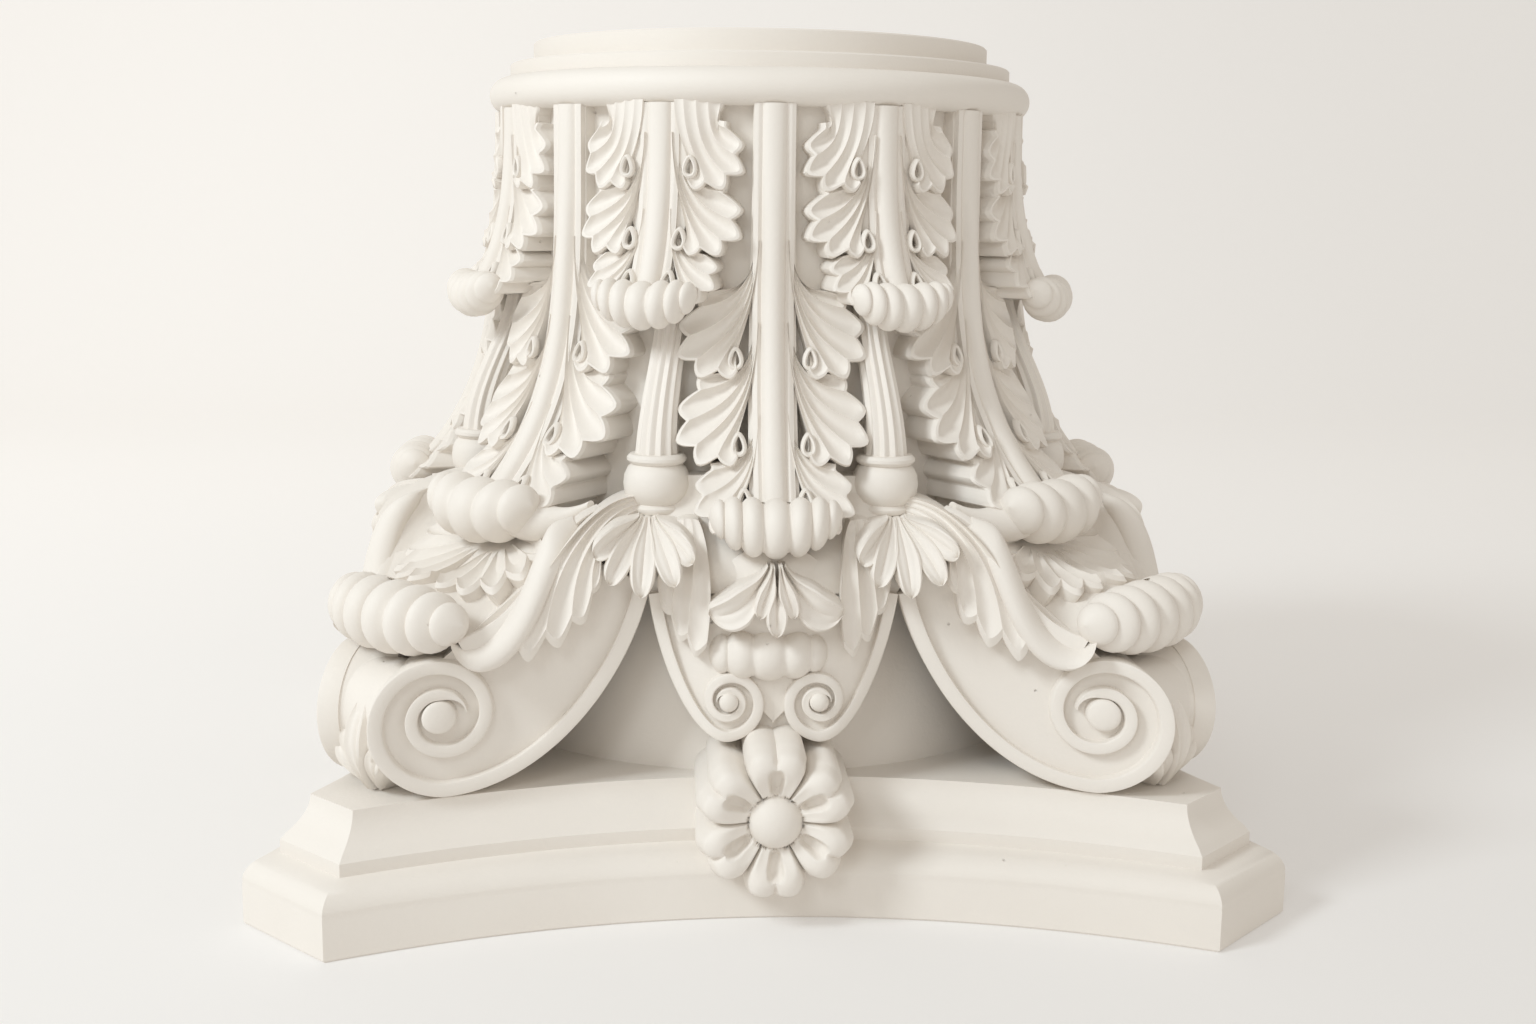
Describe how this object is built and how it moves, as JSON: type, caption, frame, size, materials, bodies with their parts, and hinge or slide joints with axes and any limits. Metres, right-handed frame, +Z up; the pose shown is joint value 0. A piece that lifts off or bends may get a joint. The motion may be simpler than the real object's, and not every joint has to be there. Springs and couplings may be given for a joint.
{
  "type": "corinthian capital",
  "caption": "Cast plaster Corinthian capital standing upside down on its hollow-sided abacus, with two rows of acanthus leaves, corner volutes and side rosettes.",
  "frame": {"origin": "centre of the underside, which is the flat outer face of the abacus", "axes": "+Z up along the capital's axis, from the abacus to the round seat; -Y is the front side with a rosette, corners lie on the diagonals of X and Y"},
  "size_m": [0.5688, 0.5688, 0.48],
  "materials": {
    "plaster": "warm off-white cast plaster, matt, with tiny air-bubble pits"
  },
  "bodies": {
    "root": {"capital": "plaster"}
  },
  "joints": []
}
